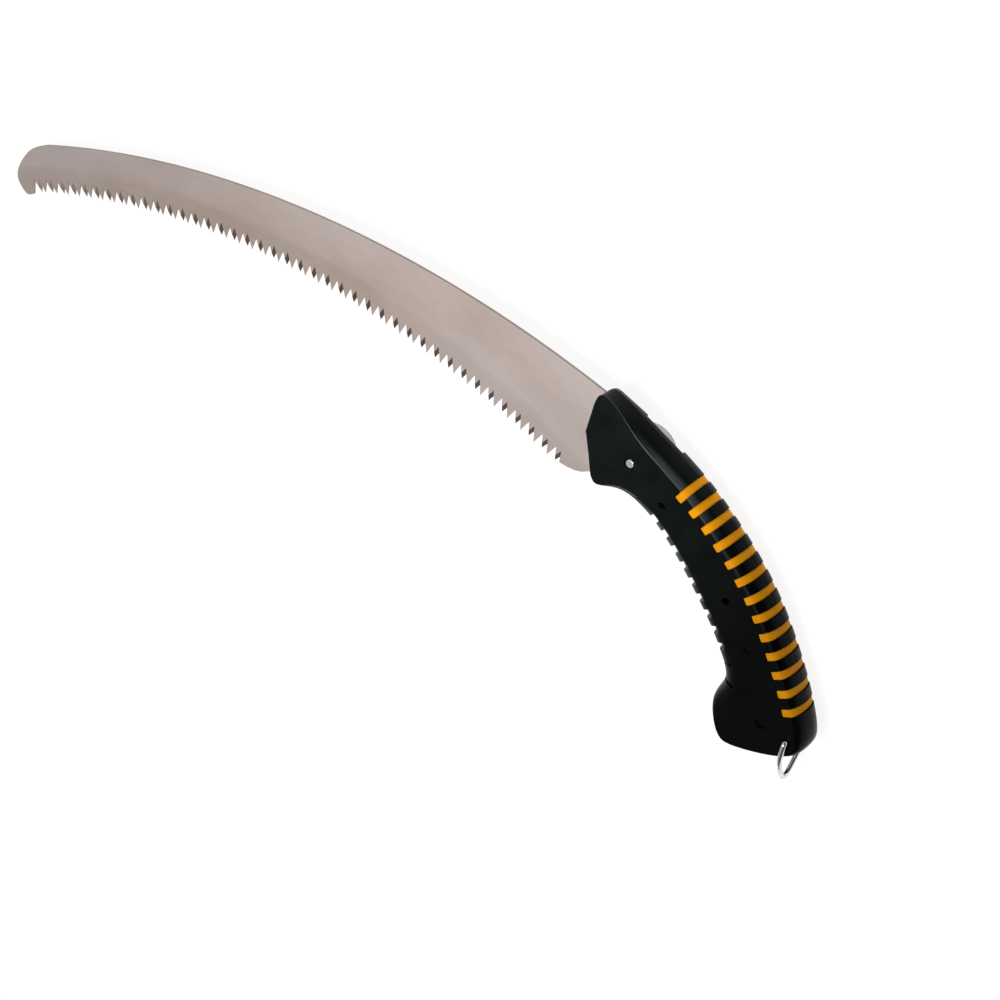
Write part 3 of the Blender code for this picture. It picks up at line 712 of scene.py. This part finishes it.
def shell_form(side):
    """One shell's outer form, with closely spaced rings towards the flat."""
    outline = handle_outline()
    normals = inward_normals(outline, side)
    bm = bmesh.new()
    rings = []
    for k in range(RING_COUNT):
        level = math.sin(0.5 * math.pi * k / (RING_COUNT - 1))
        height = GAP / 2 + (HALF_THICK - GAP / 2) * level
        ring = []
        for (x, y, left, right, roundness), normal in zip(outline, normals):
            shift = edge_inset(left if side > 0 else right, roundness, level)
            ring.append(bm.verts.new((x + normal.x * shift, y + normal.y * shift, side * height)))
        rings.append(ring)
    bridge(bm, rings)
    return bm


def palm_curve():
    return catmull([FRONT_AND_BELLY[0]] + list(reversed(PALM)) + [BUTT[-1]], GUIDE_SPANS)


def palm_section(distance, depth, reach, steps, crest=0.0):
    """One line over the palm, from the left flat round to the right one, deeper at the crest."""
    (x, y, left, right, roundness), along = walk(palm_curve(), distance)
    inward = Vector((along.y, -along.x))
    levels = [math.sin(0.5 * math.pi * k / steps) for k in range(steps + 1)]
    halves = []
    for side, inset in ((1.0, left), (-1.0, right)):
        half = []
        for level in levels:
            sunk = depth + crest * (1.0 - level ** 2)
            shift = sunk + edge_inset(inset - depth, roundness, level)
            height = side * (HALF_THICK - depth) * level
            half.append((x + inward.x * shift, y + inward.y * shift, height))
        half.append((x + inward.x * reach, y + inward.y * reach, side * (HALF_THICK - depth)))
        halves.append(half)
    return list(reversed(halves[0])) + halves[1][1:]


def band_form(bm, middle, width, rows, bottom, steps, crest=0.0):
    """A C-shaped bar over the palm; rows are (share of the half width, depth, reach)."""
    rings = []
    for share, top, reach in rows:
        distance = middle + share * width / 2
        outer = palm_section(distance, top, reach, steps, crest)
        inner = palm_section(distance, bottom, reach, steps)
        rings.append([bm.verts.new(p) for p in outer + list(reversed(inner))])
    bridge(bm, rings, "open")
    half = len(rings[0]) // 2
    for ring in (rings[0], rings[-1]):
        for i in range(half - 1):
            bm.faces.new((ring[i], ring[i + 1], ring[-i - 2], ring[-i - 1]))


def band_places():
    """Each band's middle along the palm and its reach over the flats."""
    places = []
    for i in range(BAND_COUNT):
        extra = FRONT_BAND_EXTRA * max(0.0, 1.0 - i / FRONT_BANDS)
        places.append((FIRST_BAND + BAND_PITCH * i, BAND_REACH + extra))
    return places


def groove_form():
    bm = bmesh.new()
    for middle, reach in band_places():
        rows = [(share, -CUTTER_PROUD, reach + GAP) for share in (-1.0, 0.0, 1.0)]
        band_form(bm, middle, BAND_WIDTH + 2 * GAP, rows, BAND_DEPTH + GAP, GROOVE_STEPS)
    return bm


def notch_form():
    """Finger notches that follow the rounded belly and stop short of the flats."""
    bm = bmesh.new()
    belly = catmull(FRONT_AND_BELLY[BELLY_START:], GUIDE_SPANS)
    turns = [0.5 * math.pi * k / NOTCH_STEPS for k in range(-NOTCH_STEPS, NOTCH_STEPS + 1)]
    levels = [NOTCH_END * math.sin(turn) for turn in turns]
    side = NOTCH_DEPTH - NOTCH_ROUND
    rows = ((-1.0, side), (-NOTCH_FLOOR, NOTCH_DEPTH), (NOTCH_FLOOR, NOTCH_DEPTH), (1.0, side))
    for i in range(NOTCH_COUNT):
        middle = FIRST_NOTCH + NOTCH_PITCH * i
        width = NOTCH_WIDTH if i < NOTCH_COUNT - SLIT_COUNT else SLIT_WIDTH
        rings = []
        for share, bottom in rows:
            (x, y, left, right, roundness), along = walk(belly, middle + share * width / 2)
            inward = Vector((-along.y, along.x))
            ring = []
            for depth, run in ((-CUTTER_PROUD, levels), (bottom, list(reversed(levels)))):
                for level in run:
                    inset = left if level > 0 else right
                    shift = depth + edge_inset(inset - depth, roundness, abs(level))
                    ring.append(bm.verts.new((x + inward.x * shift, y + inward.y * shift,
                                              (HALF_THICK - depth) * level)))
            rings.append(ring)
        bridge(bm, rings, "open")
        half = len(levels)
        for ring in (rings[0], rings[-1]):
            for k in range(half - 1):
                bm.faces.new((ring[k], ring[k + 1], ring[-k - 2], ring[-k - 1]))
    return bm


def pocket_outline():
    """The knob's round pocket, open towards the thumb."""
    towards = Vector(THUMB_CUT_TOWARDS).normalized()
    across = Vector((-towards.y, towards.x))
    half = math.asin(THUMB_CUT_WIDTH / 2 / POCKET_RADIUS)
    base = math.atan2(towards.y, towards.x)
    centre = Vector(BOLT_AT)
    arc = []
    for i in range(POCKET_STEPS + 1):
        turn = base + half + (2 * math.pi - 2 * half) * i / POCKET_STEPS
        arc.append(tuple(centre + POCKET_RADIUS * Vector((math.cos(turn), math.sin(turn)))))
    far = centre + towards * THUMB_CUT_REACH
    side = across * THUMB_CUT_WIDTH / 2
    return arc + [tuple(far - side), tuple(far + side)]


def make_shell(side, node, material):
    item = raw_object(node + "_shell", shell_form(side))
    slot = BLADE_HALF + GAP
    front = SCREWS["handle_screw_front"]
    rear = SCREWS["handle_screw_rear"]
    pin_hole = TANG_PIN_RADIUS + GAP
    screw_hole = SCREW_RADIUS + GAP
    cutters = [prism(TANG_SLOT, -slot, slot), groove_form(), notch_form(),
               bore(BAIL_AT, WIRE_RADIUS + GAP, -THROUGH, THROUGH)]
    if side > 0:
        nut = (NUT_FLATS / 2 + GAP) / math.cos(math.pi / 6)
        cutters += [
            bore(BOLT_AT, BOLT_HOLE_RADIUS, 0.0, THROUGH),
            bore(BOLT_AT, nut, 0.0, slot + NUT_THICK + 2 * GAP, 6),
            bore(TANG_PIN_AT, pin_hole, 0.0, THROUGH),
            bore(front, screw_hole, -OVERRUN, THROUGH),
            bore(rear, screw_hole, -OVERRUN, SCREW_TOP + GAP),
            bore(rear, SCREW_HEAD_RADIUS, HALF_THICK - REAR_RECESS_DEPTH, THROUGH),
            bore(MARK_AT, MARK_RADIUS, HALF_THICK - MARK_DEPTH, THROUGH)]
    else:
        cutters += [
            bore(BOLT_AT, BOLT_HOLE_RADIUS, -THROUGH, 0.0),
            bore(TANG_PIN_AT, pin_hole, -TANG_PIN_HALF - GAP, 0.0),
            bore(front, screw_hole, -THROUGH, OVERRUN),
            bore(rear, screw_hole, -THROUGH, OVERRUN),
            bore(front, SCREW_HEAD_RADIUS + GAP, -THROUGH, SCREW_SEAT),
            bore(rear, SCREW_HEAD_RADIUS + GAP, -THROUGH, SCREW_SEAT),
            prism(pocket_outline(), -THROUGH, POCKET_FLOOR)]
    carve(item, cutters)
    finish_piece(item, node, "handle", material, sharp=28)


def make_bands(material):
    for number, (middle, reach) in enumerate(band_places(), start=1):
        node = f"grip_band_{number:02d}"
        bm = bmesh.new()
        end = reach + BAND_END_EXTRA
        rows = [(share, BAND_SINK + drop, end - BAND_END_SLOPE * drop) for share, drop in BAND_CROWN]
        band_form(bm, middle, BAND_WIDTH + BAND_FILL * GAP, rows, BAND_DEPTH, BAND_STEPS, CREST_SINK)
        item = raw_object(node + "_inlay", bm)
        finish_piece(item, node, "handle", material, sharp=50)


# ---------------------------------------------------------------- clamp, screws, bail

def make_knob(material):
    top = POCKET_FLOOR - GAP - WASHER_THICK - GAP
    seat = KNOB_FACE + GAP + BOLT_HEAD_THICK + GAP
    face = KNOB_FACE
    rim = KNOB_RADIUS
    head = BOLT_HEAD_RADIUS + GAP
    hole = BOLT_RADIUS + GAP
    back = [(hole, top), (rim - 1.6, top), (rim - 0.5, top - 0.15, 0.6)]
    grip = [(rim, top - 0.7, 1.0), (rim, top - 2.4, 1.0), (rim, face + 1.2, 1.0),
            (rim - 0.15, face + 0.6, 0.9), (rim - 0.6, face + 0.15, 0.5)]
    front = [(rim - 1.3, face, 0.0), (rim - 2.2, face), (rim - 2.6, face + 0.45),
             (rim - 3.4, face + 0.6), (head + 2.2, face + 0.6), (head + 1.4, face + 0.5),
             (head + 0.9, face + 0.1), (head + 0.25, face + 0.02), (head, face + 0.25)]
    socket = [(head, seat), (hole, seat)]
    bm = turned(back + grip + front + socket, KNOB_FLUTES * SIDES_PER_FLUTE, BOLT_AT, "loop",
                KNOB_FLUTES, KNOB_FLUTE_DEPTH)
    item = raw_object("clamp_knob_body", bm)
    finish_piece(item, "clamp_knob", "knob", material, sharp=40)


def make_bolt(material):
    """A bolt with a hexagon socket in its head, which lies in the knob's face."""
    low = KNOB_FACE + GAP
    shoulder = low + BOLT_HEAD_THICK
    head = BOLT_HEAD_RADIUS
    shank = BOLT_RADIUS
    profile = [(head - 0.35, low), (head - 0.08, low + 0.1), (head, low + 0.4),
               (head, shoulder - 0.1), (head - 0.1, shoulder), (shank, shoulder),
               (shank, shoulder + 1.4)]
    height = shoulder + 1.6
    while height < BOLT_END - 0.9:
        profile += [(shank, height), (shank - THREAD_DEPTH, height + THREAD_PITCH * 0.5)]
        height += THREAD_PITCH
    profile += [(shank, BOLT_END - 0.45), (shank - 0.12, BOLT_END - 0.12), (shank - 0.4, BOLT_END)]
    item = raw_object("blade_bolt_turned", turned(profile, BOLT_SIDES, BOLT_AT))
    carve(item, [bore(BOLT_AT, HEX_KEY_RADIUS, low - OVERRUN, low + RECESS_DEPTH, 6)])
    finish_piece(item, "blade_bolt", "knob", material, sharp=30)


def make_washer(material):
    top = POCKET_FLOOR - GAP
    low = top - WASHER_THICK
    rim = WASHER_RADIUS
    hole = BOLT_RADIUS + GAP
    profile = [(hole, low), (rim - 0.15, low), (rim, low + 0.15), (rim, top - 0.1), (rim - 0.1, top),
               (hole, top)]
    item = raw_object("bolt_washer_ring", turned(profile, BOLT_SIDES, BOLT_AT, "loop"))
    finish_piece(item, "bolt_washer", "washer", material, sharp=30)


def make_screw(node, at, material):
    """A pan-head screw whose cross recess faces out of the right shell."""
    seat = SCREW_SEAT - GAP
    low = seat - SCREW_HEAD_THICK
    head = SCREW_HEAD_RADIUS
    shank = SCREW_RADIUS
    profile = [(head - 1.7, low), (head - 1.0, low + 0.08), (head - 0.45, low + 0.35),
               (head - 0.12, low + 0.8), (head, low + 1.3), (head, seat), (shank, seat)]
    height = seat + 1.2
    while height < SCREW_TOP - 1.3:
        profile += [(shank, height), (shank - SCREW_THREAD_DEPTH, height + SCREW_THREAD_PITCH * 0.5)]
        height += SCREW_THREAD_PITCH
    profile += [(shank, SCREW_TOP - 1.0), (0.5, SCREW_TOP)]
    item = raw_object(node + "_turned", turned(profile, SCREW_SIDES, at))
    bars = []
    for run, rise in ((CROSS_LONG, CROSS_SHORT), (CROSS_SHORT, CROSS_LONG)):
        signs = ((-1, -1), (1, -1), (1, 1), (-1, 1))
        corners = [(at[0] + sx * run, at[1] + sy * rise) for sx, sy in signs]
        bars.append(prism(corners, low - OVERRUN, low + RECESS_DEPTH))
    carve(item, bars)
    finish_piece(item, node, "handle", material, sharp=30)


def make_bail(material):
    """The wire loop, as a tube along a smooth half route and its mirror image."""
    wide = HALF_THICK + GAP + WIRE_RADIUS
    # How far along the loop from its hole, and how far from the parting plane
    half = [(0.0, 3.5), (0.0, HALF_THICK - 1.0), (-0.5, wide - 0.5), (-2.0, wide), (-8.5, wide),
            (-14.0, wide - 2.2), (-19.5, 5.2), (-23.4, 2.2), (-24.6, 0.0)]
    smooth = catmull(half, WIRE_SPANS)
    path = smooth + [(drop, -across) for drop, across in reversed(smooth[:-1])]
    sideways = Vector((1.0, 0.0, 0.0))
    bm = bmesh.new()
    rings = []
    for i, (drop, across) in enumerate(path):
        ahead = path[min(i + 1, len(path) - 1)]
        behind = path[max(i - 1, 0)]
        along = Vector((0.0, ahead[0] - behind[0], ahead[1] - behind[1])).normalized()
        up = along.cross(sideways)
        centre = Vector((BAIL_AT[0], BAIL_AT[1] + drop, across))
        ring = []
        for k in range(WIRE_SIDES):
            turn = 2.0 * math.pi * k / WIRE_SIDES
            spoke = sideways * math.cos(turn) + up * math.sin(turn)
            ring.append(bm.verts.new(centre + spoke * WIRE_DRAWN))
        rings.append(ring)
    bridge(bm, rings)
    item = raw_object("hanging_bail_wire", bm)
    finish_piece(item, "hanging_bail", "bail", material, sharp=50)


# ---------------------------------------------------------------- stage

def make_camera():
    camera = bpy.data.objects.new("camera", bpy.data.cameras.new("camera"))
    bpy.context.scene.collection.objects.link(camera)
    right = Vector(CAMERA_RIGHT)
    up = Vector(CAMERA_UP)
    turn = Matrix((right, up, right.cross(up))).transposed().to_4x4()
    camera.matrix_world = Matrix.Translation(ORIGIN + Vector(CAMERA_AT) * MM) @ turn
    camera.data.sensor_width = CAMERA_SENSOR
    camera.data.lens = CAMERA_LENS
    bpy.context.scene.camera = camera


def make_floor(material):
    bm = bmesh.new()
    bmesh.ops.create_grid(bm, x_segments=2, y_segments=2, size=FLOOR_HALF)
    mesh = bpy.data.meshes.new("floor")
    bm.to_mesh(mesh)
    bm.free()
    floor = bpy.data.objects.new("floor", mesh)
    floor.location.z = cad_box[0].z
    bpy.context.scene.collection.objects.link(floor)
    mesh.materials.append(material)


def make_key_light():
    """One large soft light above the middle of the saw."""
    light = bpy.data.lights.new("key", "AREA")
    light.shape = "RECTANGLE"
    light.size, light.size_y = KEY_SIZE
    light.energy = KEY_WATTS
    item = bpy.data.objects.new("key", light)
    item.location = KEY_AT
    item.rotation_mode = "QUATERNION"
    middle = (cad_box[0] + cad_box[1]) / 2
    item.rotation_quaternion = (middle - Vector(KEY_AT)).to_track_quat("-Z", "Y")
    bpy.context.scene.collection.objects.link(item)


def make_surroundings():
    """Pale surroundings for the metal and the plastic to reflect, brighter on the -X side."""
    world = bpy.data.worlds.new("soft_white")
    bpy.context.scene.world = world
    world.use_nodes = True
    tree = world.node_tree
    background = tree.nodes["Background"]
    place = tree.nodes.new("ShaderNodeTexCoord")
    towards = tree.nodes.new("ShaderNodeVectorMath")
    towards.operation = "DOT_PRODUCT"
    towards.inputs[1].default_value = (-0.5, 0.0, 0.0)
    tree.links.new(place.outputs["Generated"], towards.inputs[0])
    centred = tree.nodes.new("ShaderNodeMath")
    centred.inputs[1].default_value = 0.5
    tree.links.new(towards.outputs["Value"], centred.inputs[0])
    ramp = tree.nodes.new("ShaderNodeValToRGB")
    ramp.color_ramp.elements.new(0.5)
    for element, (position, grey) in zip(ramp.color_ramp.elements, SURROUNDINGS):
        element.position = position
        element.color = (grey, grey, grey, 1.0)
    tree.links.new(centred.outputs[0], ramp.inputs[0])
    tree.links.new(ramp.outputs[0], background.inputs["Color"])


def dress_frame_nodes(plain, dark):
    """Better materials for the CAD nodes that stay."""
    for node, material in (("captive_nut", plain), ("tang_pin", dark)):
        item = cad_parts[node]
        item.data.materials.clear()
        item.data.materials.append(material)


def main():
    make_camera()
    make_floor(pale_floor())
    make_surroundings()
    make_key_light()
    bpy.context.scene.view_settings.view_transform = "Standard"
    black = black_plastic()
    orange = orange_rubber()
    plain = metal("fastener_steel", (0.50, 0.49, 0.47), 0.30, 0.50)
    dark = metal("pin_steel", (0.10, 0.10, 0.10), 0.35, 0.5)
    knob = metal("knob_alloy", (0.42, 0.44, 0.42), 0.34, 0.46, 1400.0, 0.00001)
    wire = metal("wire_steel", (0.72, 0.69, 0.66), 0.10, 0.18, 700.0, 0.000003)
    dress_frame_nodes(plain, dark)
    make_blade(blade_steel())
    make_shell(1.0, "handle_left", black)
    make_shell(-1.0, "handle_right", black)
    make_bands(orange)
    make_knob(knob)
    make_bolt(plain)
    make_washer(plain)
    for node, at in SCREWS.items():
        make_screw(node, at, dark)
    make_bail(wire)


main()
